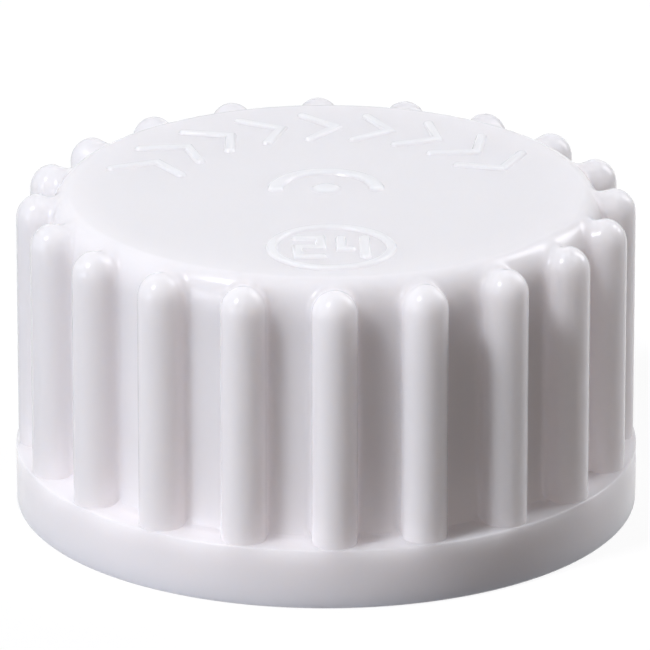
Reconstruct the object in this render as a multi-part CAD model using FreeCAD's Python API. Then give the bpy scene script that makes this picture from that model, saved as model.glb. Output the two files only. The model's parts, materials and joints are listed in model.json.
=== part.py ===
"""Ribbed screw closure for the neck of a plastic volumetric flask.

The closure stands on its open rim.  The origin is the centre of that rim, +Z runs
up through the closed top, and one grip rib points along -Y.  Millimetres.

Nodes
  cap_shell      one injection moulding: band, skirt, ribs, top, thread, liner bead
  liner_backing  resilient foam disc that lies against the inside of the top
  liner_facing   thin chemical-proof film laminated on the neck side of the backing
"""
import FreeCAD, Part
import math
import os

# --- outside of the shell ---------------------------------------------------------
band_diameter = 31.0          # smooth base band, the widest place
band_height = 3.05
band_edge_round = 0.12        # broken top edge of the band
rim_edge_round = 0.20         # broken bottom edge of the band
skirt_diameter = 27.5         # floor of the grooves between the ribs
ledge_cove_radius = 0.50      # hollow between the band's ledge and the groove floor
top_plane_height = 16.2
shoulder_radius = 1.0        # rounded edge of the top between the ribs

# --- grip ribs --------------------------------------------------------------------
rib_count = 20
rib_width = 2.22              # full-round ribs: the crown radius is half of this
rib_inset = 0.23              # crown stands this far inside the band
rib_root_radius = 0.30        # hollow along the foot of each flank
rib_top_drop = 0.20           # crown of the ball end, below the top plane

# --- neck finish that the closure fits: 24 mm, 8 threads per inch, single start ----
neck_thread_diameter = 23.9   # over the thread of the flask's neck
thread_clearance = 0.40       # across the diameter, neck thread to shell thread root
thread_pitch = 3.175
thread_depth = 1.05
thread_crest_width = 0.65
thread_root_width = 1.75
thread_turns = 1.75
thread_embed = 0.30           # how far the ridge's base runs into the wall

# --- mouth ------------------------------------------------------------------------
mouth_clearance = 1.0         # across the diameter, plain lead-in to neck thread
mouth_depth = 2.7             # plain lead-in, from the rim to the start of its cone
mouth_chamfer = 0.30
thread_lead_gap = 0.10        # from the lead-in cone to the lowest edge of the thread

# --- top wall and liner -----------------------------------------------------------
top_wall = 1.6
backing_thickness = 1.35
facing_thickness = 0.25
liner_edge_clearance = 0.20   # radial, liner to wall, so that the liner turns freely
liner_face_clearance = 0.05   # above the liner, and between the liner and its bead
bead_reach = 0.40             # how far the liner bead stands in from the wall
bead_crest_width = 0.30
bead_upper_slope = 0.20       # height of the flank that carries the liner
bead_lower_slope = 0.35       # height of the flank that the liner is pushed past

# --- raised marks on the top ------------------------------------------------------
mark_height = 0.15
mark_stroke = 0.55
chevron_count = 9             # row of chevrons behind the centre, closing direction
chevron_pitch_angle = 17.0
chevron_radius = 9.3
chevron_height = 3.6          # along the radius, between the ends of the strokes
chevron_reach = 1.5           # along the row
gate_ring_radius = 2.5        # half ring behind the gate mark at the centre
gate_ring_stroke = 0.8
gate_mark_radius = 0.75
size_ring_centre = 8.6        # ring with the neck size, near the front rib
size_ring_radius = 3.2
digit_height = 2.6
digit_width = 1.15
digit_gap = 1.0               # between the middles of the facing strokes

# --- worked out from the above ----------------------------------------------------
ORIGIN = FreeCAD.Vector(0, 0, 0)
UP = FreeCAD.Vector(0, 0, 1)
FRONT = -90.0                 # direction of the first rib, degrees from +X
REAR = 90.0
FULL_TURN = 360.0
HALF_TURN = 180.0
RIGHT_ANGLE = 90.0

band_radius = band_diameter / 2
skirt_radius = skirt_diameter / 2
rib_radius = rib_width / 2
rib_axis_radius = band_radius - rib_inset - rib_radius
rib_ball_height = top_plane_height - rib_top_drop - rib_radius
rib_pitch_angle = FULL_TURN / rib_count
thread_root_radius = (neck_thread_diameter + thread_clearance) / 2
thread_crest_radius = thread_root_radius - thread_depth
mouth_radius = (neck_thread_diameter + mouth_clearance) / 2
mouth_cone_top = mouth_depth + mouth_radius - thread_root_radius
top_underside = top_plane_height - top_wall
backing_top = top_underside - liner_face_clearance
facing_top = backing_top - backing_thickness
facing_bottom = facing_top - facing_thickness
liner_radius = thread_root_radius - liner_edge_clearance
bead_top = facing_bottom - liner_face_clearance
bead_crest_radius = thread_root_radius - bead_reach
thread_start_height = mouth_cone_top + thread_lead_gap + thread_root_width / 2
thread_height = thread_pitch * thread_turns


def at(radius, angle, height=0.0):
    """Point at a radius and an angle in degrees from +X."""
    turn = math.radians(angle)
    return FreeCAD.Vector(radius * math.cos(turn), radius * math.sin(turn), height)


def line(start, end):
    return Part.LineSegment(start, end).toShape()


def arc(start, middle, end):
    return Part.Arc(start, middle, end).toShape()


def revolved(edges):
    """Solid of revolution about Z of a closed outline in the XZ plane."""
    face = Part.Face(Part.Wire(edges))
    return face.revolve(ORIGIN, UP, FULL_TURN)


def turned(outline):
    """Solid of revolution of straight-sided (radius, height) points."""
    points = [FreeCAD.Vector(radius, 0, height) for radius, height in outline]
    return revolved([line(a, b) for a, b in zip(points, points[1:] + points[:1])])


def ring_arc(radius, width, centre_angle, span, bottom, height):
    """Flat curved bar on a circle about Z."""
    first = centre_angle - span / 2
    last = centre_angle + span / 2
    inner = radius - width / 2
    outer = radius + width / 2
    edges = [
        arc(at(outer, first, bottom), at(outer, centre_angle, bottom), at(outer, last, bottom)),
        line(at(outer, last, bottom), at(inner, last, bottom)),
        arc(at(inner, last, bottom), at(inner, centre_angle, bottom), at(inner, first, bottom)),
        line(at(inner, first, bottom), at(outer, first, bottom)),
    ]
    return Part.Face(Part.Wire(edges)).extrude(UP * height)


# --- shell: outside ---------------------------------------------------------------
def core():
    """Band, ledge, groove floor, shoulder and top, as one turned solid."""
    cove_top = band_height + ledge_cove_radius
    cove_outer = skirt_radius + ledge_cove_radius
    slope = math.sqrt(0.5)
    shoulder_start = top_plane_height - shoulder_radius
    top_edge = skirt_radius - shoulder_radius

    def spot(radius, height):
        return FreeCAD.Vector(radius, 0, height)

    cove_middle = spot(cove_outer - ledge_cove_radius * slope,
                       cove_top - ledge_cove_radius * slope)
    shoulder_middle = spot(top_edge + shoulder_radius * slope,
                           shoulder_start + shoulder_radius * slope)
    band_middle = spot(band_radius - band_edge_round * (1 - slope),
                       band_height - band_edge_round * (1 - slope))
    rim_middle = spot(band_radius - rim_edge_round * (1 - slope),
                      rim_edge_round * (1 - slope))
    return revolved([
        line(spot(0, 0), spot(band_radius - rim_edge_round, 0)),
        arc(spot(band_radius - rim_edge_round, 0), rim_middle, spot(band_radius, rim_edge_round)),
        line(spot(band_radius, rim_edge_round), spot(band_radius, band_height - band_edge_round)),
        arc(spot(band_radius, band_height - band_edge_round), band_middle,
            spot(band_radius - band_edge_round, band_height)),
        line(spot(band_radius - band_edge_round, band_height), spot(cove_outer, band_height)),
        arc(spot(cove_outer, band_height), cove_middle, spot(skirt_radius, cove_top)),
        line(spot(skirt_radius, cove_top), spot(skirt_radius, shoulder_start)),
        arc(spot(skirt_radius, shoulder_start), shoulder_middle, spot(top_edge, top_plane_height)),
        line(spot(top_edge, top_plane_height), spot(0, top_plane_height)),
        line(spot(0, top_plane_height), spot(0, 0)),
    ])


def local(angle, radial, across, height):
    """Point given along and across the radius at an angle in degrees."""
    turn = math.radians(angle)
    x = radial * math.cos(turn) - across * math.sin(turn)
    y = radial * math.sin(turn) + across * math.cos(turn)
    return FreeCAD.Vector(x, y, height)


def ribbed_prism():
    """Groove floors and full-round ribs with hollow roots, up to the ball ends."""
    root_axis_reach = skirt_radius + rib_root_radius
    root_across = rib_radius + rib_root_radius
    root_radial = math.sqrt(root_axis_reach ** 2 - root_across ** 2)
    root_angle = math.degrees(math.atan2(root_across, root_radial))
    diagonal = math.radians(root_angle + RIGHT_ANGLE) / 2
    base = band_height
    edges = []
    for index in range(rib_count):
        angle = FRONT + index * rib_pitch_angle

        def spot(radial, across):
            return local(angle, radial, across, base)

        def root(side):
            """Flank end, middle and floor end of one hollow."""
            middle = spot(root_radial - rib_root_radius * math.sin(diagonal),
                          side * (root_across - rib_root_radius * math.cos(diagonal)))
            return (spot(root_radial, side * rib_radius), middle,
                    at(skirt_radius, angle + side * root_angle, base))

        right_flank, right_middle, right_floor = root(-1)
        left_flank, left_middle, left_floor = root(1)
        next_floor = at(skirt_radius, angle + rib_pitch_angle - root_angle, base)
        floor_middle = at(skirt_radius, angle + rib_pitch_angle / 2, base)
        edges += [
            arc(right_floor, right_middle, right_flank),
            line(right_flank, spot(rib_axis_radius, -rib_radius)),
            arc(spot(rib_axis_radius, -rib_radius), spot(rib_axis_radius + rib_radius, 0),
                spot(rib_axis_radius, rib_radius)),
            line(spot(rib_axis_radius, rib_radius), left_flank),
            arc(left_flank, left_middle, left_floor),
            arc(left_floor, floor_middle, next_floor),
        ]
    return Part.Face(Part.Wire(edges)).extrude(UP * (rib_ball_height - base))


def rib_end():
    """Ball end of the front rib, and its half-round run back under the top."""
    radial = at(1.0, FRONT)
    across = radial.cross(UP)
    centre = at(rib_axis_radius, FRONT, rib_ball_height)
    ball = Part.makeSphere(rib_radius, centre)
    run_length = rib_axis_radius - liner_radius
    run = Part.makeCylinder(rib_radius, run_length, centre, radial * -1)
    above = Part.makeBox(2 * band_radius, 2 * band_radius, rib_width,
                         FreeCAD.Vector(-band_radius, -2 * band_radius, rib_ball_height))
    return ball.fuse(run).common(above)


def rib_ends():
    first = rib_end()
    ends = []
    for index in range(rib_count):
        end = first.copy()
        end.rotate(ORIGIN, UP, index * rib_pitch_angle)
        ends.append(end)
    return ends


# --- shell: inside ----------------------------------------------------------------
def cavity():
    """Lead-in, bore at the thread root and liner chamber, with the bead left standing."""
    bead_bottom = bead_top - bead_upper_slope - bead_crest_width - bead_lower_slope
    return turned([
        (0, 0),
        (mouth_radius + mouth_chamfer, 0),
        (mouth_radius, mouth_chamfer),
        (mouth_radius, mouth_depth),
        (thread_root_radius, mouth_cone_top),
        (thread_root_radius, bead_bottom),
        (bead_crest_radius, bead_bottom + bead_lower_slope),
        (bead_crest_radius, bead_top - bead_upper_slope),
        (thread_root_radius, bead_top),
        (thread_root_radius, top_underside),
        (0, top_underside),
    ])


def thread_ridge():
    """Single-start ridge of trapezoidal section, standing in from the bore."""
    helix = Part.makeHelix(thread_pitch, thread_height, thread_root_radius)
    base_radius = thread_root_radius + thread_embed
    flank = (thread_root_width - thread_crest_width) / 2 / thread_depth
    base_half = thread_root_width / 2 + flank * thread_embed
    crest_half = thread_crest_width / 2
    corners = [FreeCAD.Vector(base_radius, 0, -base_half),
               FreeCAD.Vector(thread_crest_radius, 0, -crest_half),
               FreeCAD.Vector(thread_crest_radius, 0, crest_half),
               FreeCAD.Vector(base_radius, 0, base_half)]
    section = Part.Wire([line(a, b) for a, b in zip(corners, corners[1:] + corners[:1])])
    ridge = Part.Wire(helix.Edges).makePipeShell([section], True, True)
    ridge.translate(UP * thread_start_height)
    return ridge


# --- raised marks -----------------------------------------------------------------
def flat_mark(corners):
    """Raised mark with straight sides, from (x, y) corners."""
    points = [FreeCAD.Vector(x, y, top_plane_height - mark_height) for x, y in corners]
    edges = [line(a, b) for a, b in zip(points, points[1:] + points[:1])]
    return Part.Face(Part.Wire(edges)).extrude(UP * (2 * mark_height))


def stroke(start, end, width):
    """Straight raised stroke between two (x, y) points, with square ends past them."""
    first = FreeCAD.Vector(start[0], start[1], 0)
    last = FreeCAD.Vector(end[0], end[1], 0)
    along = (last - first).normalize() * (width / 2)
    side = FreeCAD.Vector(-along.y, along.x, 0)
    corners = [first - along + side, last + along + side,
               last + along - side, first - along - side]
    return flat_mark([(point.x, point.y) for point in corners])


def chevrons():
    """Row of chevrons about the rear rib that point the way that closes the cap."""
    strokes = []
    reach_angle = math.degrees(chevron_reach / 2 / chevron_radius)
    for index in range(chevron_count):
        angle = REAR + (index - (chevron_count - 1) / 2) * chevron_pitch_angle
        tip = at(chevron_radius, angle - reach_angle)
        for end_radius in (chevron_radius - chevron_height / 2,
                           chevron_radius + chevron_height / 2):
            tail = at(end_radius, angle + reach_angle)
            strokes.append(stroke((tail.x, tail.y), (tip.x, tip.y), mark_stroke))
    return strokes


def gate_marks():
    """Half ring behind the gate, and the round gate mark itself."""
    bottom = top_plane_height - mark_height
    half_ring = ring_arc(gate_ring_radius, gate_ring_stroke, REAR, HALF_TURN,
                         bottom, 2 * mark_height)
    gate = Part.makeCylinder(gate_mark_radius, 2 * mark_height, FreeCAD.Vector(0, 0, bottom))
    return [half_ring, gate]


def size_ring():
    """Ring around the neck size."""
    centre = FreeCAD.Vector(0, -size_ring_centre, top_plane_height - mark_height)
    outer = Part.makeCylinder(size_ring_radius, 2 * mark_height, centre)
    inner = Part.makeCylinder(size_ring_radius - mark_stroke, 2 * mark_height, centre)
    return outer.cut(inner)


def digit(strokes, left, low):
    """Strokes of one digit, given between points of its own unit box."""
    return [stroke((left + x0 * digit_width, low + y0 * digit_height),
                   (left + x1 * digit_width, low + y1 * digit_height), mark_stroke)
            for (x0, y0), (x1, y1) in strokes]


TWO = [((0, 1), (1, 1)), ((1, 1), (1, 0.5)), ((1, 0.5), (0, 0.5)),
       ((0, 0.5), (0, 0)), ((0, 0), (1, 0))]
FOUR = [((0, 1), (0, 0.4)), ((0, 0.4), (1, 0.4)), ((1, 1), (1, 0))]


def size_digits():
    """The neck size, 24, read from the front."""
    low = -size_ring_centre - digit_height / 2
    left = -digit_gap / 2 - digit_width
    return digit(TWO, left, low) + digit(FOUR, digit_gap / 2, low)


# --- nodes ------------------------------------------------------------------------
def cap_shell():
    marks = chevrons() + gate_marks() + [size_ring()] + size_digits()
    body = core().multiFuse([ribbed_prism()] + rib_ends() + marks)
    body = body.removeSplitter()
    body = body.cut(cavity())
    return body.fuse(thread_ridge())


def liner_disc(bottom, thickness):
    return Part.makeCylinder(liner_radius, thickness, FreeCAD.Vector(0, 0, bottom))


NODES = {
    "cap_shell": cap_shell,
    "liner_backing": lambda: liner_disc(facing_top, backing_thickness),
    "liner_facing": lambda: liner_disc(facing_bottom, facing_thickness),
}


def main():
    os.makedirs("parts", exist_ok=True)
    for name, make in NODES.items():
        shape = make()
        print(name, "solids", len(shape.Solids), "valid", shape.isValid(),
              "volume", round(shape.Volume, 2))
        shape.exportStep(os.path.join("parts", name + ".step"))


main()
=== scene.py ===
"""Looks of a ribbed white screw closure, dressed round its CAD frame.

The shell is one watertight mesh in place of the CAD node: full-round ribs with ball
ends that melt into the skirt, a hollow ledge, the base band, the mouth, the inner
thread and the liner bead.  The liner's two CAD discs stay and get their own finish.
Sizes below are millimetres; meshes are written in metres.
"""
import json
import math

import bpy
import numpy as np
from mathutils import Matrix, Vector
from mathutils.geometry import delaunay_2d_cdt


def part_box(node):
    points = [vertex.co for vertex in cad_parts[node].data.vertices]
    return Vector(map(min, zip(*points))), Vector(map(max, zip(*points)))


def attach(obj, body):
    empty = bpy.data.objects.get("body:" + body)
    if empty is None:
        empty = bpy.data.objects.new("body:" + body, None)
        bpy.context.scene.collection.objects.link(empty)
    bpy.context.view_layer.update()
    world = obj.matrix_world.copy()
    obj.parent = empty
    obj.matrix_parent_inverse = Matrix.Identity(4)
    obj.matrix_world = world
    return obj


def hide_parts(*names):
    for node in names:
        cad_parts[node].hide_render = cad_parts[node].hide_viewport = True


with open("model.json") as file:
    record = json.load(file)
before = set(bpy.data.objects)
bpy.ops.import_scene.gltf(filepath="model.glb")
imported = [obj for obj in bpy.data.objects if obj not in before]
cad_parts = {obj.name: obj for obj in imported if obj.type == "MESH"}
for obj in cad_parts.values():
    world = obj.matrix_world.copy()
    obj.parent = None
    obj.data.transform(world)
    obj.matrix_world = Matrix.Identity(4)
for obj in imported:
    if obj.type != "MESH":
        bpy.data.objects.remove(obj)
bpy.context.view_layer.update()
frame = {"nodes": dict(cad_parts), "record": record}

# --- sizes ------------------------------------------------------------------------
MM = 0.001
shell_high = np.array(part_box("cap_shell")[1]) / MM
backing_high = np.array(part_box("liner_backing")[1]) / MM
facing_low = np.array(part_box("liner_facing")[0]) / MM
MOUNTS = {mount["name"]: mount for mount in frame["record"]["mounts"]}

BAND_RADIUS = shell_high[0]
BAND_HEIGHT = 3.05
BAND_EDGE_ROUND = 0.08
RIM_EDGE_ROUND = 0.20
SKIRT_RADIUS = 13.75
COVE_BLEND = 0.59
MARK_HEIGHT = 0.15
TOP = shell_high[2] - MARK_HEIGHT
SHOULDER_RADIUS = 1.05         # reach of the rounded upper edge along the radius
SHOULDER_DROP = 1.9            # and along the height

RIB_COUNT = 20
RIB_RADIUS = 1.11
RIB_CREST_INSET = 0.12         # the crests lie this far inside the band
RIB_AXIS_RADIUS = BAND_RADIUS - RIB_CREST_INSET - RIB_RADIUS
RIB_END_RISE = 1.20            # height of a rib's ball end
RIB_END_DROP = 0.16            # and how far it stays below the flat top
RIB_BALL_HEIGHT = TOP - RIB_END_DROP - RIB_END_RISE
RIB_FALL = 0.25                # slope of the rib's crest where it runs in under the shoulder
RIB_ROOT_RADIUS = 0.30
RIB_BLEND = 0.35
RIB_PITCH = 2 * math.pi / RIB_COUNT
FRONT = -math.pi / 2           # one rib lies along -Y

MOUTH_RADIUS = MOUNTS["neck_lead_in"]["dims"]["r_mm"]
MOUTH_DEPTH = 2.7
MOUTH_CHAMFER = 0.30
THREAD_ROOT_RADIUS = MOUNTS["neck_thread"]["dims"]["r_mm"]
MOUTH_CONE_TOP = MOUTH_DEPTH + MOUTH_RADIUS - THREAD_ROOT_RADIUS
THREAD_DEPTH = 1.05
THREAD_PITCH = 3.175
THREAD_TURNS = 1.75
THREAD_ROOT_WIDTH = 1.75
THREAD_CREST_WIDTH = 0.65
THREAD_FADE = math.radians(24)  # run-in and run-out of the ridge
THREAD_LEAD_GAP = 0.10         # plain bore between the mouth's cone and the thread
LINER_PLAY = 0.05              # over and under the liner
TOP_UNDERSIDE = backing_high[2] + LINER_PLAY
BEAD_TOP = facing_low[2] - LINER_PLAY
BEAD_REACH = 0.40
BEAD_CREST_WIDTH = 0.30
BEAD_UPPER_SLOPE = 0.20
BEAD_LOWER_SLOPE = 0.35
BEAD_FLANK_SPOT = (0.2, 0.15)  # on the lower flank: in from the bore, up from the bead's foot
BEAD_LOWER_EDGE = ((0.03, -0.05), (0.0, 0.06))  # round the crest's edge: out of it, up from it
BEAD_UPPER_EDGE = ((0.0, -0.06), (0.04, 0.02))

MARK_STROKE = 0.55
MARK_COLLAR = 1.12             # flat strip round a mark, as a share of its half width
CHEVRON_COUNT = 9
CHEVRON_PITCH = math.radians(17)
CHEVRON_RADIUS = 9.3
CHEVRON_HEIGHT = 3.6
CHEVRON_REACH = 1.5
GATE_RING_RADIUS = 2.5
GATE_RING_STROKE = 0.8
GATE_MARK_RADIUS = 0.75
GATE_MARK_LENGTH = 0.02        # between the centres of its round ends
SIZE_RING_CENTRE = 8.6
SIZE_RING_RADIUS = 3.2
DIGIT_HEIGHT = 2.6
DIGIT_WIDTH = 1.15
DIGIT_GAP = 1.0
FOUR_BAR_REACH, FOUR_BAR_HEIGHT = 0.38, 0.4     # shares of the digit's width and height

# how the mesh is laid out
RIB_COLUMNS = 52               # columns round one rib and one groove
CROWN_ROWS = 30                # rows from the ribs' straight part to the flat top
FLAT_RADIUS = 12.45            # where the ribs and the shoulder meet the flat top
BALL_MARGIN = 0.6              # height of the crown's rows below the ball ends
OUTLINE_POINTS = (40, 20, 60)  # along half a groove floor, a hollow root and half a crown
TURN_POINTS = 12               # along a rounding of the crown
CROWN_ROUNDS = 90              # of evening out the crown's grid
PULL = 0.5                     # a grid point's way to its neighbours' middle in one round
SIDE_ROWS = (0.2, 0.4, 0.6, 0.8, 0.95)          # shares of the way down the ribs
LEDGE_ROWS = (0.08, 0.18, 0.32, 0.5, 0.75, 1.0)  # and of the way out over the ledge
LEDGE_ROUNDS = 40              # of finding the ledge's height
BAND_ROWS = (2.0, 1.1)         # heights on the band
ROUND_TURNS = (30, 60, 90)     # degrees round the band's edges
BORE_STEP = 0.15               # between the rings that carry the thread
MOUTH_ROW = 1.5                # height of a ring half way up the mouth
CORNER = 0.03                  # half the width of the chamfer's softened corner
END_TURNS = (80, 66, 52, 39, 26, 13)            # degrees round a stroke's end
MITER_LIMIT = 0.5              # least cosine that widens a stroke at a corner
ARC_POINTS = 40
RING_POINTS = 96
TRIANGLES_INSIDE = 1           # delaunay_2d_cdt: keep what lies inside the outlines
JOINED_WITHIN = 1e-6


# --- the outer surface as distances -------------------------------------------------
def smooth_min(a, b, width):
    """Union of two distances with a hollow blend."""
    near = np.clip(width - np.abs(a - b), 0, None) / width
    return np.minimum(a, b) - near * near * width / 4


def rounded_corner(radius, height, reach, top, corner, drop):
    """Distance to a turned block with a rounded upper edge, corner wide and drop high."""
    out = radius - (reach - corner)
    up = (height - (top - drop)) * corner / drop
    outside = np.hypot(np.clip(out, 0, None), np.clip(up, 0, None))
    return outside + np.minimum(np.maximum(out, up), 0) - corner


def skirt_distance(points):
    """Distance to the skirt and top without ribs."""
    radius = np.hypot(points[..., 0], points[..., 1])
    return rounded_corner(radius, points[..., 2], SKIRT_RADIUS, TOP, SHOULDER_RADIUS,
                          SHOULDER_DROP)


def rib_distance(points):
    """Distance to the nearest full-round rib; the first rib lies along +X here."""
    angle = np.arctan2(points[..., 1], points[..., 0])
    angle = (angle + RIB_PITCH / 2) % RIB_PITCH - RIB_PITCH / 2
    radius = np.hypot(points[..., 0], points[..., 1])
    beyond = radius * np.cos(angle) - RIB_AXIS_RADIUS
    out = np.clip(beyond, 0, None)
    up = points[..., 2] - RIB_BALL_HEIGHT - RIB_FALL * np.clip(beyond, None, 0)
    up = np.clip(up, 0, None) * RIB_RADIUS / RIB_END_RISE
    return np.sqrt(out ** 2 + up ** 2 + (radius * np.sin(angle)) ** 2) - RIB_RADIUS


def ribbed_distance(points):
    """Distance to the skirt and top with the ribs blended in."""
    return smooth_min(skirt_distance(points), rib_distance(points), RIB_BLEND)


def onto_surface(points, distance, steps=6, probe=1e-4, flattest=0.05):
    """Moves points along the gradient onto the zero of a distance."""
    for _ in range(steps):
        value = distance(points)
        slope = np.zeros_like(points)
        for axis in range(3):
            offset = np.zeros(3)
            offset[axis] = probe
            rise = distance(points + offset) - distance(points - offset)
            slope[..., axis] = rise / (2 * probe)
        length = np.maximum((slope ** 2).sum(-1), flattest)
        points = points - slope * (value / length)[..., None]
    return points


def turned(points, angle):
    """Points turned about Z."""
    c, s = math.cos(angle), math.sin(angle)
    x, y = points[..., 0], points[..., 1]
    return np.stack([c * x - s * y, s * x + c * y, points[..., 2]], -1)


def resampled(points, count):
    """The same path with evenly spaced points."""
    steps = np.linalg.norm(np.diff(points, axis=0), axis=1)
    along = np.concatenate([[0], np.cumsum(steps)])
    wanted = np.linspace(0, along[-1], count)
    return np.stack([np.interp(wanted, along, points[:, axis]) for axis in range(3)], -1)


def rib_outline(height):
    """Half groove, hollow root, flank, round crown, and the same back, at one height."""
    across = RIB_RADIUS + RIB_ROOT_RADIUS
    radial = math.sqrt((SKIRT_RADIUS + RIB_ROOT_RADIUS) ** 2 - across ** 2)
    root_angle = math.atan2(across, radial)
    floor_points, hollow_points, crown_points = OUTLINE_POINTS
    floor = np.linspace(RIB_PITCH / 2, root_angle, floor_points)
    upper = [(SKIRT_RADIUS * math.cos(a), SKIRT_RADIUS * math.sin(a)) for a in floor]
    hollow = np.linspace(math.pi + root_angle, 1.5 * math.pi, hollow_points)
    upper += [(radial + RIB_ROOT_RADIUS * math.cos(a), across + RIB_ROOT_RADIUS * math.sin(a))
              for a in hollow]
    crown = np.linspace(math.pi / 2, 0, crown_points)
    upper += [(RIB_AXIS_RADIUS + RIB_RADIUS * math.cos(a), RIB_RADIUS * math.sin(a))
              for a in crown]
    half = np.array(upper)
    whole = np.concatenate([half * (1, -1), half[-2::-1]])
    points = np.column_stack([whole, np.full(len(whole), height)])
    return resampled(points, RIB_COLUMNS + 1)


def crown_sector(straight_top):
    """Grid over one rib's ball end and half a groove each side, up to the flat top."""
    outline = rib_outline(straight_top)
    inner_angles = np.linspace(-RIB_PITCH / 2, RIB_PITCH / 2, RIB_COLUMNS + 1)
    columns = []
    for start, angle in zip(outline, inner_angles):
        end = np.array([FLAT_RADIUS * math.cos(angle), FLAT_RADIUS * math.sin(angle), TOP])
        excess = start[0] - RIB_AXIS_RADIUS
        path = [start]
        if excess > 0:
            for turn in np.linspace(0, math.pi / 2, TURN_POINTS):
                path.append([RIB_AXIS_RADIUS + excess * math.cos(turn), start[1],
                             RIB_BALL_HEIGHT + excess * math.sin(turn)
                             * RIB_END_RISE / RIB_RADIUS])
        else:
            scale = SKIRT_RADIUS / np.hypot(start[0], start[1])
            for turn in np.linspace(0, math.pi / 2, TURN_POINTS):
                radius = SKIRT_RADIUS - SHOULDER_RADIUS * (1 - math.cos(turn))
                place = radius / SKIRT_RADIUS * scale
                path.append([start[0] * place, start[1] * place,
                             TOP - SHOULDER_DROP * (1 - math.sin(turn))])
        path.append(end)
        columns.append(resampled(np.array(path), CROWN_ROWS + 1))
    grid = np.array(columns)                       # [column, row, xyz]
    ends = grid[:, [0, -1]].copy()
    for _ in range(CROWN_ROUNDS):
        body = grid[:-1]
        before = np.concatenate([turned(body[-1:], -RIB_PITCH), body[:-1]])
        after = np.concatenate([body[1:], turned(body[:1], RIB_PITCH)])
        middle = ((before + after)[:, 1:-1] + body[:, :-2] + body[:, 2:]) / 4
        body = body.copy()
        body[:, 1:-1] = (1 - PULL) * body[:, 1:-1] + PULL * middle
        body[:, 1:-1] = onto_surface(body[:, 1:-1], ribbed_distance, steps=2)
        grid = np.concatenate([body, turned(body[:1], RIB_PITCH)])
        grid[:, [0, -1]] = ends
    grid[:, 1:-1] = onto_surface(grid[:, 1:-1], ribbed_distance)
    return grid


def ledge_height(radius):
    """Height of the hollow ledge and the band's top at a radius."""
    radius = np.asarray(radius, float)
    height = np.full_like(radius, BAND_HEIGHT)
    for _ in range(LEDGE_ROUNDS):
        wall = radius - SKIRT_RADIUS
        floor = height - BAND_HEIGHT
        gap = smooth_min(wall, floor, COVE_BLEND)
        height = height - gap
    return height


def shell_rings():
    """Outer rings from the flat top down to the standing rim, each with the same columns."""
    sector = crown_sector(RIB_BALL_HEIGHT - BALL_MARGIN)
    rows = [sector[:-1, row] for row in range(CROWN_ROWS, -1, -1)]
    outline = rows[-1]
    radius = np.hypot(outline[:, 0], outline[:, 1])
    foot = outline.copy()
    foot[:, 2] = np.maximum(ledge_height(radius), BAND_HEIGHT)
    for share in SIDE_ROWS:
        rows.append(outline + (foot - outline) * share)
    rows.append(foot)
    foot_angle = np.arctan2(foot[:, 1], foot[:, 0])
    even_angle = np.linspace(-RIB_PITCH / 2, RIB_PITCH / 2, RIB_COLUMNS + 1)[:-1]
    edge_angle = (foot_angle + even_angle) / 2
    edge_radius = BAND_RADIUS - BAND_EDGE_ROUND
    for share in LEDGE_ROWS:
        place = radius + (edge_radius - radius) * share
        angle = foot_angle + (edge_angle - foot_angle) * share
        rows.append(np.column_stack([place * np.cos(angle), place * np.sin(angle),
                                     ledge_height(place)]))

    def ring(place, height):
        return np.column_stack([place * np.cos(edge_angle), place * np.sin(edge_angle),
                                np.full(RIB_COLUMNS, height)])

    for turn in ROUND_TURNS:
        turn = math.radians(turn)
        rows.append(ring(edge_radius + BAND_EDGE_ROUND * math.sin(turn),
                         BAND_HEIGHT - BAND_EDGE_ROUND * (1 - math.cos(turn))))
    for height in BAND_ROWS:
        rows.append(ring(BAND_RADIUS, height))
    for turn in (0, *ROUND_TURNS):
        turn = math.radians(turn)
        rows.append(ring(BAND_RADIUS - RIM_EDGE_ROUND * (1 - math.cos(turn)),
                         RIM_EDGE_ROUND * (1 - math.sin(turn))))
    rings = []
    for row in rows:
        copies = [turned(row, FRONT + index * RIB_PITCH) for index in range(RIB_COUNT)]
        rings.append(np.concatenate(copies))
    return rings


# --- the inner surface --------------------------------------------------------------
def thread_height_at(angle, height):
    """How far the thread ridge stands in from the bore."""
    start = MOUTH_CONE_TOP + THREAD_LEAD_GAP + THREAD_ROOT_WIDTH / 2
    last = THREAD_TURNS * 2 * math.pi
    ridge = np.zeros_like(height)
    for lap in range(math.ceil(THREAD_TURNS) + 1):
        run = angle % (2 * math.pi) + lap * 2 * math.pi
        offset = np.abs(height - start - THREAD_PITCH * run / (2 * math.pi))
        flank = (THREAD_ROOT_WIDTH - THREAD_CREST_WIDTH) / 2
        profile = np.clip((THREAD_ROOT_WIDTH / 2 - offset) / flank, 0, 1)
        lead = np.clip(run / THREAD_FADE, 0, 1) * np.clip((last - run) / THREAD_FADE, 0, 1)
        lead = lead * lead * (3 - 2 * lead)
        ridge = np.maximum(ridge, THREAD_DEPTH * profile * lead)
    return ridge


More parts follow.
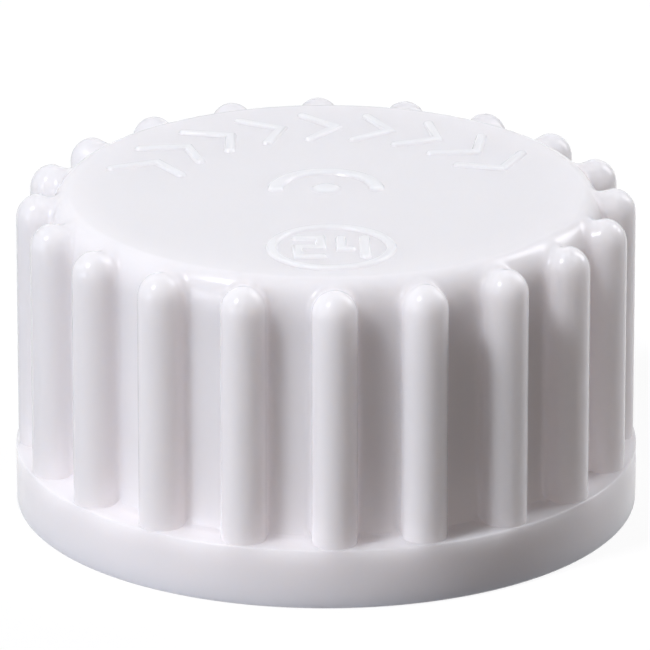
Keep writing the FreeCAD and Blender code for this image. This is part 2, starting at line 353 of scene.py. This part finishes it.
def inside_rings(columns):
    """Rings from the standing rim up the bore to the underside of the top."""
    bead_crest_top = BEAD_TOP - BEAD_UPPER_SLOPE
    bead_crest_low = bead_crest_top - BEAD_CREST_WIDTH
    bead_low = bead_crest_low - BEAD_LOWER_SLOPE
    spots = [(MOUTH_RADIUS + MOUTH_CHAMFER, 0.0),
             (MOUTH_RADIUS + CORNER, MOUTH_CHAMFER - CORNER),
             (MOUTH_RADIUS, MOUTH_CHAMFER + CORNER),
             (MOUTH_RADIUS, MOUTH_ROW), (MOUTH_RADIUS, MOUTH_DEPTH)]
    spots += [(THREAD_ROOT_RADIUS, height)
              for height in np.arange(MOUTH_CONE_TOP, bead_low, BORE_STEP)]
    # the bead: foot, lower flank, softened crest, upper flank
    reach = THREAD_ROOT_RADIUS - BEAD_REACH
    flank_in, flank_up = BEAD_FLANK_SPOT
    spots += [(THREAD_ROOT_RADIUS, bead_low),
              (THREAD_ROOT_RADIUS - flank_in, bead_low + flank_up)]
    spots += [(reach + out, bead_crest_low + up) for out, up in BEAD_LOWER_EDGE]
    spots += [(reach + out, bead_crest_top + up) for out, up in BEAD_UPPER_EDGE]
    spots += [(THREAD_ROOT_RADIUS, BEAD_TOP), (THREAD_ROOT_RADIUS, TOP_UNDERSIDE)]
    angle = np.linspace(0, 2 * math.pi, columns, endpoint=False) + (FRONT - RIB_PITCH / 2)
    rings = []
    for radius, height in spots:
        heights = np.full(columns, height)
        reach_in = np.zeros(columns)
        if radius == THREAD_ROOT_RADIUS and height < bead_low:
            reach_in = thread_height_at(angle, heights)
        place = radius - reach_in
        rings.append(np.column_stack([place * np.cos(angle), place * np.sin(angle), heights]))
    return rings


# --- mesh building ------------------------------------------------------------------
def new_object(name, vertices, faces, sharp_angle=35.0):
    """Smooth-shaded object from vertices in millimetres."""
    mesh = bpy.data.meshes.new(name)
    mesh.from_pydata([tuple(v) for v in np.asarray(vertices) * MM], [], faces)
    mesh.validate()
    mesh.polygons.foreach_set("use_smooth", [True] * len(mesh.polygons))
    mesh.set_sharp_from_angle(angle=math.radians(sharp_angle))
    mesh.update()
    piece = bpy.data.objects.new(name, mesh)
    bpy.context.scene.collection.objects.link(piece)
    return piece


def ring_faces(first, second, columns):
    """Quads between two rings of as many columns."""
    return [(first + i, second + i, second + (i + 1) % columns, first + (i + 1) % columns)
            for i in range(columns)]


def halving_faces(first, second, columns):
    """Faces from a ring to one of half its columns."""
    half = columns // 2
    faces = []
    for i in range(half):
        a, b, c = first + 2 * i, first + 2 * i + 1, first + (2 * i + 2) % columns
        d, e = second + i, second + (i + 1) % half
        faces += [(a, d, b), (b, d, e), (b, e, c)]
    return faces


# --- raised marks ---------------------------------------------------------------------
# height of a mark across its width, from its foot to its middle; 1 is the full height
MARK_PROFILE = [(MARK_COLLAR, 0.0), (1.0, 0.0), (0.93, 0.22), (0.84, 0.55), (0.72, 0.82),
                (0.55, 0.96), (0.3, 1.0), (0.0, 1.0)]


def mark_height(share):
    """Height of a mark at a share of its half width."""
    shares, heights = zip(*reversed(MARK_PROFILE))
    return float(np.interp(share, shares, heights)) * MARK_HEIGHT


def stroke(path, width, closed=False):
    """Soft-edged bar along (x, y) points, with round ends: vertices, faces and outlines."""
    path = np.array(path, float)
    half = width / 2
    places = [share / MARK_COLLAR for share, _ in MARK_PROFILE]
    places = [-place for place in places] + places[-2::-1]
    following = np.roll(path, -1, 0) - path
    leading = path - np.roll(path, 1, 0)
    if not closed:
        following[-1], leading[0] = leading[-1], following[0]
    following /= np.linalg.norm(following, axis=1)[:, None]
    leading /= np.linalg.norm(leading, axis=1)[:, None]
    along = following + leading
    along /= np.linalg.norm(along, axis=1)[:, None]
    miter = half / np.maximum((along * following).sum(1), MITER_LIMIT)
    stations = [(path[i], along[i], miter[i], 0.0) for i in range(len(path))]
    if not closed:
        beyond = [MARK_COLLAR * math.sin(math.radians(turn)) for turn in END_TURNS]
        stations = ([(path[0] - along[0] * half * s, along[0], half, s) for s in beyond]
                    + stations
                    + [(path[-1] + along[-1] * half * s, along[-1], half, s)
                       for s in reversed(beyond)])
    vertices, faces = [], []
    for spot, direction, reach, past_end in stations:
        side = np.array([-direction[1], direction[0]])
        width_share = math.sqrt(MARK_COLLAR ** 2 - past_end ** 2)
        for place in places:
            offset = place * width_share
            x, y = spot + side * offset * reach
            vertices.append((x, y, TOP + mark_height(math.hypot(offset, past_end))))
    size, count = len(places), len(stations)
    for i in range(count if closed else count - 1):
        a, b = i * size, (i + 1) % count * size
        faces += [(a + j, b + j, b + j + 1, a + j + 1) for j in range(size - 1)]
    right = [i * size for i in range(count)]
    left = [i * size + size - 1 for i in range(count)]
    if closed:
        outlines = [right, left]
    else:
        first_end = list(range(size - 2, 0, -1))
        last_end = list(range((count - 1) * size + 1, count * size - 1))
        outlines = [right + last_end + left[::-1] + first_end]
    return vertices, faces, outlines


def arc_path(centre, radius, first, last, count):
    """Points along an arc."""
    return [(centre[0] + radius * math.cos(t), centre[1] + radius * math.sin(t))
            for t in np.linspace(first, last, count)]


def mark_strokes():
    """Every mark's strokes, at the CAD's places."""
    strokes = []
    reach_angle = CHEVRON_REACH / 2 / CHEVRON_RADIUS

    def spot(radius, turn):
        return radius * math.cos(turn), radius * math.sin(turn)

    for index in range(CHEVRON_COUNT):
        angle = math.pi / 2 + (index - (CHEVRON_COUNT - 1) / 2) * CHEVRON_PITCH
        strokes.append(stroke([spot(CHEVRON_RADIUS - CHEVRON_HEIGHT / 2, angle + reach_angle),
                               spot(CHEVRON_RADIUS, angle - reach_angle),
                               spot(CHEVRON_RADIUS + CHEVRON_HEIGHT / 2, angle + reach_angle)],
                              MARK_STROKE))
    half_ring = arc_path((0, 0), GATE_RING_RADIUS, 0, math.pi, ARC_POINTS)
    strokes.append(stroke(half_ring, GATE_RING_STROKE))
    strokes.append(stroke([(-GATE_MARK_LENGTH / 2, 0), (GATE_MARK_LENGTH / 2, 0)],
                          2 * GATE_MARK_RADIUS))
    ring = arc_path((0, -SIZE_RING_CENTRE), SIZE_RING_RADIUS - MARK_STROKE / 2,
                    0, 2 * math.pi, RING_POINTS + 1)
    strokes.append(stroke(ring[:-1], MARK_STROKE, closed=True))
    low = -SIZE_RING_CENTRE - DIGIT_HEIGHT / 2
    left = -DIGIT_GAP / 2 - DIGIT_WIDTH

    def drawn(left, *corners):
        return stroke([(left + x * DIGIT_WIDTH, low + y * DIGIT_HEIGHT) for x, y in corners],
                      MARK_STROKE)

    strokes.append(drawn(left, (0, 1), (1, 1), (1, 0.5), (0, 0.5), (0, 0), (1, 0)))
    # the four is two strokes that all but touch
    strokes.append(drawn(DIGIT_GAP / 2, (0, 1), (0, FOUR_BAR_HEIGHT),
                         (FOUR_BAR_REACH, FOUR_BAR_HEIGHT)))
    strokes.append(drawn(DIGIT_GAP / 2, (1, 1), (1, 0)))
    return strokes


def marked_top(rim):
    """Vertices and faces that fill the rim's ring with the flat top and its raised marks.

    The ring's own points come first in the numbering and aren't repeated in the vertices.
    """
    vertices, faces, outlines = [], [], [list(range(len(rim)))]
    for points, polygons, edges in mark_strokes():
        base = len(rim) + len(vertices)
        vertices += points
        faces += [tuple(base + i for i in polygon) for polygon in polygons]
        outlines += [[base + i for i in edge] for edge in edges]
    every = np.concatenate([rim, vertices])
    used = [i for outline in outlines for i in outline]
    number = {i: k for k, i in enumerate(used)}
    _, _, triangles, origins, _, inside = delaunay_2d_cdt(
        [Vector(every[i][:2]) for i in used], [],
        [[number[i] for i in outline] for outline in outlines],
        TRIANGLES_INSIDE, JOINED_WITHIN, True)
    for triangle, loops in zip(triangles, inside):
        # an even number of outlines round a triangle puts it under a mark
        if len(loops) % 2:
            a, b, c = (used[origins[i][0]] for i in triangle)
            (ax, ay), (bx, by), (cx, cy) = (every[i][:2] for i in (a, b, c))
            turn = (bx - ax) * (cy - ay) - (by - ay) * (cx - ax)
            faces.append((a, b, c) if turn > 0 else (a, c, b))
    return vertices, faces


def shell_mesh():
    """The whole moulding as one closed mesh: outside, inside, top and marks."""
    outer = shell_rings()
    columns = RIB_COLUMNS * RIB_COUNT
    inner = inside_rings(columns // 2)
    ring_points = np.concatenate(outer + inner)
    top_vertices, top_faces = marked_top(outer[0])
    shift = len(ring_points) - columns
    faces = [tuple(i if i < columns else i + shift for i in face) for face in top_faces]
    for index in range(len(outer) - 1):
        faces += ring_faces(index * columns, (index + 1) * columns, columns)
    base = len(outer) * columns
    faces += halving_faces(base - columns, base, columns)
    half = columns // 2
    for index in range(len(inner) - 1):
        faces += ring_faces(base + index * half, base + (index + 1) * half, half)
    last = base + (len(inner) - 1) * half
    faces.append(tuple(range(last + half - 1, last - 1, -1)))
    return new_object("closure_moulding", np.concatenate([ring_points, top_vertices]), faces)


shell = shell_mesh()
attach(shell, "shell")
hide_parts("cap_shell")


# --- node helpers ---------------------------------------------------------------------
def node_material(name, colour, roughness, **inputs):
    """A node material: (material, tree, shader)."""
    material = bpy.data.materials.new(name)
    material.use_nodes = True
    tree = material.node_tree
    shader = tree.nodes["Principled BSDF"]
    shader.inputs["Base Color"].default_value = (*colour, 1)
    shader.inputs["Roughness"].default_value = roughness
    for socket, value in inputs.items():
        shader.inputs[socket].default_value = value
    return material, tree, shader


def mapped(tree, source, first, last, low=0.0, high=1.0):
    """Maps first..last of a value onto low..high."""
    mapping = tree.nodes.new("ShaderNodeMapRange")
    for socket, value in (("From Min", first), ("From Max", last),
                          ("To Min", low), ("To Max", high)):
        mapping.inputs[socket].default_value = value
    tree.links.new(source, mapping.inputs["Value"])
    return mapping.outputs["Result"]


def coordinate(tree, axis, space="Object"):
    """One coordinate, by default in the piece's own metres."""
    place = tree.nodes.new("ShaderNodeTexCoord")
    split = tree.nodes.new("ShaderNodeSeparateXYZ")
    tree.links.new(place.outputs[space], split.inputs["Vector"])
    return split.outputs[axis]


def larger(tree, first, second):
    """The larger of two values."""
    node = tree.nodes.new("ShaderNodeMath")
    node.operation = "MAXIMUM"
    tree.links.new(first, node.inputs[0])
    tree.links.new(second, node.inputs[1])
    return node.outputs[0]


def noise(tree, scale, detail=2.0, roughness=0.5):
    """Noise in the piece's own coordinates."""
    place = tree.nodes.new("ShaderNodeTexCoord")
    texture = tree.nodes.new("ShaderNodeTexNoise")
    texture.inputs["Scale"].default_value = scale
    texture.inputs["Detail"].default_value = detail
    texture.inputs["Roughness"].default_value = roughness
    tree.links.new(place.outputs["Object"], texture.inputs["Vector"])
    return texture.outputs["Fac"]


NOISE_LOW, NOISE_HIGH = 0.3, 0.7         # most of a noise lies between these


def spread(tree, source, low, high):
    """Maps a noise's middle range onto low..high."""
    return mapped(tree, source, NOISE_LOW, NOISE_HIGH, low, high)


def tinted(tree, factor, first, second):
    """Colour between two, each a tint or another node's output."""
    mix = tree.nodes.new("ShaderNodeMix")
    mix.data_type = "RGBA"
    for socket, colour in (("A", first), ("B", second)):
        if isinstance(colour, tuple):
            mix.inputs[socket].default_value = (*colour, 1)
        else:
            tree.links.new(colour, mix.inputs[socket])
    tree.links.new(factor, mix.inputs["Factor"])
    return mix.outputs["Result"]


def bumped(tree, height, strength, depth):
    """Normal of a bump of so many metres' depth."""
    bump = tree.nodes.new("ShaderNodeBump")
    bump.inputs["Strength"].default_value = strength
    bump.inputs["Distance"].default_value = depth
    tree.links.new(height, bump.inputs["Height"])
    return bump.outputs["Normal"]


# --- finishes -------------------------------------------------------------------------
PLASTIC_COLOUR = (0.90, 0.86, 0.87)
PLASTIC_TINTS = (0.893, 0.854, 0.863), (0.906, 0.866, 0.876)
PLASTIC_ROUGHNESS = 0.19, 0.23
PLASTIC_OPTICS = {"IOR": 1.49, "Specular IOR Level": 0.22, "Subsurface Weight": 1.0,
                  "Subsurface Radius": (1.0, 0.95, 0.9), "Subsurface Scale": 0.0036}
RAISED_PAINTED_GLOW = (0.945, 0.915, 0.915)      # painted light: the raised marks are painted lighter than the body, standing in for the light that passes through them
PAINTED_GLOW_SHARES = (0.1, 0.7)               # of a mark's height, from the body's tint to the painted glow
FOAM_COLOUR = (0.84, 0.825, 0.79)
FOAM_TINTS = (0.80, 0.785, 0.75), (0.87, 0.855, 0.825)
FOAM_ROUGHNESS = 0.78, 0.92
FOAM_CELLS = 4000.0                      # to the metre
FILM_COLOUR = (0.90, 0.90, 0.89)
FILM_TINTS = (0.875, 0.875, 0.865), (0.915, 0.915, 0.905)
FILM_ROUGHNESS = 0.33, 0.45


def polypropylene():
    """Semi-gloss moulded white plastic, translucent, with faint flow marks and a painted glow
    on the raised marks.
    """
    material, tree, shader = node_material("white_polypropylene", PLASTIC_COLOUR,
                                           roughness=0.21, **PLASTIC_OPTICS)
    flow = noise(tree, scale=90.0, detail=3.0)
    body = tinted(tree, spread(tree, flow, 0.0, 1.0), *PLASTIC_TINTS)
    # painted light: the raised marks are painted lighter by height, standing in for the light
    # that passes through them
    first, last = ((TOP + share * MARK_HEIGHT) * MM for share in PAINTED_GLOW_SHARES)
    raised = mapped(tree, coordinate(tree, "Z"), first, last)
    tree.links.new(tinted(tree, raised, body, RAISED_PAINTED_GLOW), shader.inputs["Base Color"])
    tree.links.new(spread(tree, flow, *PLASTIC_ROUGHNESS), shader.inputs["Roughness"])
    grain = noise(tree, scale=1500.0, detail=3.0, roughness=0.6)
    tree.links.new(bumped(tree, grain, strength=0.05, depth=0.00003), shader.inputs["Normal"])
    return material


def foam():
    """Matt closed-cell foam: cells about 0.25 mm across, some darker than others."""
    material, tree, shader = node_material("closed_cell_foam", FOAM_COLOUR, roughness=0.85)
    cells = tree.nodes.new("ShaderNodeTexVoronoi")
    cells.inputs["Scale"].default_value = FOAM_CELLS
    place = tree.nodes.new("ShaderNodeTexCoord")
    tree.links.new(place.outputs["Object"], cells.inputs["Vector"])
    patches = noise(tree, scale=700.0, detail=4.0, roughness=0.6)
    tree.links.new(tinted(tree, spread(tree, patches, 0.0, 1.0), *FOAM_TINTS),
                   shader.inputs["Base Color"])
    tree.links.new(spread(tree, patches, *FOAM_ROUGHNESS), shader.inputs["Roughness"])
    tree.links.new(bumped(tree, cells.outputs["Distance"], strength=0.8, depth=0.00008),
                   shader.inputs["Normal"])
    return material


def film():
    """Waxy fluoropolymer film, slightly rippled where it is laminated on the foam."""
    material, tree, shader = node_material("waxy_film", FILM_COLOUR, roughness=0.38, IOR=1.35)
    ripple = noise(tree, scale=450.0, detail=4.0, roughness=0.55)
    tree.links.new(tinted(tree, spread(tree, ripple, 0.0, 1.0), *FILM_TINTS),
                   shader.inputs["Base Color"])
    tree.links.new(spread(tree, ripple, *FILM_ROUGHNESS), shader.inputs["Roughness"])
    tree.links.new(bumped(tree, ripple, strength=0.35, depth=0.00012), shader.inputs["Normal"])
    return material


def finish_node(node, material):
    """Gives a CAD node that stays its own material."""
    for place in frame["nodes"][node].material_slots:
        place.material = material


shell.data.materials.append(polypropylene())
finish_node("liner_backing", foam())
finish_node("liner_facing", film())


# --- floor and room -------------------------------------------------------------------
FLOOR_SIZE = 4.0
FLOOR_GAP = 0.00002            # keeps the floor just clear of the rim that stands on it
FLOOR_COLOUR = (0.12, 0.12, 0.12)
FLOOR_GLOW = 0.90              # the lamps bring the floor to white from here, save in shadow
ROOM_LIGHT = 0.06
LIGHT_FROM_BELOW = 0.6         # only what is looked at from under the floor gets this
HORIZON = -0.05                # how far down the room's light turns into that from below
INSIDE_LIGHT = 0.25            # lets the inside be seen from below
INSIDE_CLEARANCE = 0.3
RIM_LIGHT = 0.42               # what a pale table gives back to the rim, on the lamps' side
RIM_SHADE = 0.17               # and on the side away from them
RIM_LIGHT_REACH = 0.8          # how far outside the rim it starts
RIM_LIGHT_COLOUR = (0.97, 1.0, 1.15)
RIM_LIT_SIDE, RIM_SHADED_SIDE = -8.0, 6.0       # along X
GLOW_POINTS = 96


def seen_directly(tree):
    """1 for camera, mirror and glass rays, which see the white surroundings; 0 for the rest."""
    path = tree.nodes.new("ShaderNodeLightPath")
    either = larger(tree, path.outputs["Is Camera Ray"], path.outputs["Is Glossy Ray"])
    return larger(tree, either, path.outputs["Is Transmission Ray"])


def flat_piece(name, vertices, faces, height, material):
    """New object of one material at a height."""
    mesh = bpy.data.meshes.new(name)
    mesh.from_pydata(vertices, [], faces)
    piece = bpy.data.objects.new(name, mesh)
    piece.location.z = height
    bpy.context.scene.collection.objects.link(piece)
    mesh.materials.append(material)
    return piece


def see_through(tree, hidden, surface):
    """Shows a surface, save where hidden is 1."""
    clear = tree.nodes.new("ShaderNodeBsdfTransparent")
    either = tree.nodes.new("ShaderNodeMixShader")
    tree.links.new(hidden, either.inputs["Fac"])
    tree.links.new(surface, either.inputs[1])
    tree.links.new(clear.outputs["BSDF"], either.inputs[2])
    tree.links.new(either.outputs["Shader"], tree.nodes["Material Output"].inputs["Surface"])


def make_floor():
    """Pale floor that shows white, keeps a faint shadow and is see-through from below."""
    half = FLOOR_SIZE / 2
    corners = [(-half, -half, 0), (half, -half, 0), (half, half, 0), (-half, half, 0)]
    material, tree, shader = node_material("pale_floor", FLOOR_COLOUR, roughness=0.9,
                                           **{"Specular IOR Level": 0.0})
    shader.inputs["Emission Color"].default_value = (FLOOR_GLOW, FLOOR_GLOW, FLOOR_GLOW, 1)
    tree.links.new(seen_directly(tree), shader.inputs["Emission Strength"])
    side = tree.nodes.new("ShaderNodeNewGeometry")
    see_through(tree, side.outputs["Backfacing"], shader.outputs["BSDF"])
    floor = flat_piece("floor", corners, [(0, 1, 2, 3)], -FLOOR_GAP, material)


def make_glow(name, inner, outer, left, right, colour=(1.0, 1.0, 1.0)):
    """Ring on the floor that lights what stands over it, and isn't seen itself."""
    turns = np.linspace(0, 2 * math.pi, GLOW_POINTS, endpoint=False)
    points = [(radius * MM * math.cos(t), radius * MM * math.sin(t), 0)
              for radius in (inner, outer) for t in turns]
    material = bpy.data.materials.new(name)
    material.use_nodes = True
    tree = material.node_tree
    glow = tree.nodes.new("ShaderNodeEmission")
    glow.inputs["Color"].default_value = (*colour, 1)
    level = mapped(tree, coordinate(tree, "X"), RIM_LIT_SIDE * MM, RIM_SHADED_SIDE * MM,
                   left, right)
    tree.links.new(level, glow.inputs["Strength"])
    side = tree.nodes.new("ShaderNodeNewGeometry")
    hidden = larger(tree, side.outputs["Backfacing"], seen_directly(tree))
    see_through(tree, hidden, glow.outputs["Emission"])
    faces = ring_faces(0, GLOW_POINTS, GLOW_POINTS)
    ring = flat_piece(name, points, faces, -FLOOR_GAP / 2, material)


def make_room():
    """World: white where it is seen, dim above the floor, light below it."""
    world = bpy.data.worlds.new("room")
    bpy.context.scene.world = world
    world.use_nodes = True
    tree = world.node_tree
    level = mapped(tree, coordinate(tree, "Z", "Generated"), HORIZON, 0.0,
                   LIGHT_FROM_BELOW, ROOM_LIGHT)
    background = tree.nodes["Background"]
    background.inputs["Color"].default_value = (1, 1, 1, 1)
    tree.links.new(larger(tree, level, seen_directly(tree)), background.inputs["Strength"])


make_floor()
make_glow("inside_light", INSIDE_CLEARANCE, MOUTH_RADIUS - INSIDE_CLEARANCE,
          INSIDE_LIGHT, INSIDE_LIGHT)
make_glow("rim_light", MOUTH_RADIUS + MOUTH_CHAMFER, BAND_RADIUS + RIM_LIGHT_REACH,
          RIM_LIGHT, RIM_SHADE, RIM_LIGHT_COLOUR)
make_room()


# --- camera and lamps -----------------------------------------------------------------
CAMERA_AZIMUTH = math.radians(-1.65)
CAMERA_ELEVATION = math.radians(20.33)
CAMERA_DISTANCE = 30 * BAND_RADIUS * MM         # far off: the photo's perspective is flat
AIM_SIDE, AIM_HEIGHT = -0.0038, 0.5815          # shares of the band's radius
AIM = Vector((AIM_SIDE, 0, AIM_HEIGHT)) * BAND_RADIUS * MM
FRAME_SCALE = 0.47851          # the band's radius as a share of the frame's width
SENSOR_WIDTH = 36
NEAREST, FARTHEST = 0.05, 10
LAMP_AIM = Vector((0, 0, 0.009))
LAMP_DISTANCE = 0.6
COOL_WHITE = (1.0, 1.0, 1.05)
COLD_WHITE = (0.975, 1.0, 1.10)
WARM_WHITE = (1.4, 1.0, 0.82)


def away(azimuth, elevation):
    """Unit vector towards an azimuth, from -Y towards +X, and an elevation."""
    return Vector((math.sin(azimuth) * math.cos(elevation),
                   -math.cos(azimuth) * math.cos(elevation), math.sin(elevation)))


def placed(name, data, aim, direction, distance):
    """New object that looks at aim from so far off in a direction."""
    piece = bpy.data.objects.new(name, data)
    bpy.context.scene.collection.objects.link(piece)
    piece.location = aim + direction * distance
    piece.rotation_euler = direction.to_track_quat("Z", "Y").to_euler()
    return piece


def make_camera():
    """Camera at the photograph's viewing angle."""
    data = bpy.data.cameras.new("camera")
    data.sensor_width = SENSOR_WIDTH
    data.lens = FRAME_SCALE * SENSOR_WIDTH * CAMERA_DISTANCE / (BAND_RADIUS * MM)
    data.clip_start, data.clip_end = NEAREST, FARTHEST
    bpy.context.scene.camera = placed("camera", data, AIM,
                                      away(CAMERA_AZIMUTH, CAMERA_ELEVATION), CAMERA_DISTANCE)


def softbox(name, azimuth, elevation, width, height, level, colour):
    """Area lamp that faces the closure; azimuth runs from the camera's side to its right."""
    lamp = bpy.data.lights.new(name, "AREA")
    lamp.color = colour
    lamp.shape = "RECTANGLE"
    lamp.size, lamp.size_y = width, height
    lamp.energy = level * math.pi ** 2 * LAMP_DISTANCE ** 2
    direction = away(math.radians(azimuth) + CAMERA_AZIMUTH, math.radians(elevation))
    placed(name, lamp, LAMP_AIM, direction, LAMP_DISTANCE)


make_camera()
#        name        azimuth, elevation, width, height, level, colour
softbox("key",        -52, 50, 0.10, 0.11, 0.78, COOL_WHITE)
softbox("left_low",   -56, 7, 0.24, 0.16, 0.235, COLD_WHITE)
softbox("back_right", 121, 33, 0.24, 0.42, 0.66, COOL_WHITE)
softbox("front_low",  30, 5, 0.20, 0.14, 0.03, WARM_WHITE)
bpy.context.scene.view_settings.view_transform = "Standard"
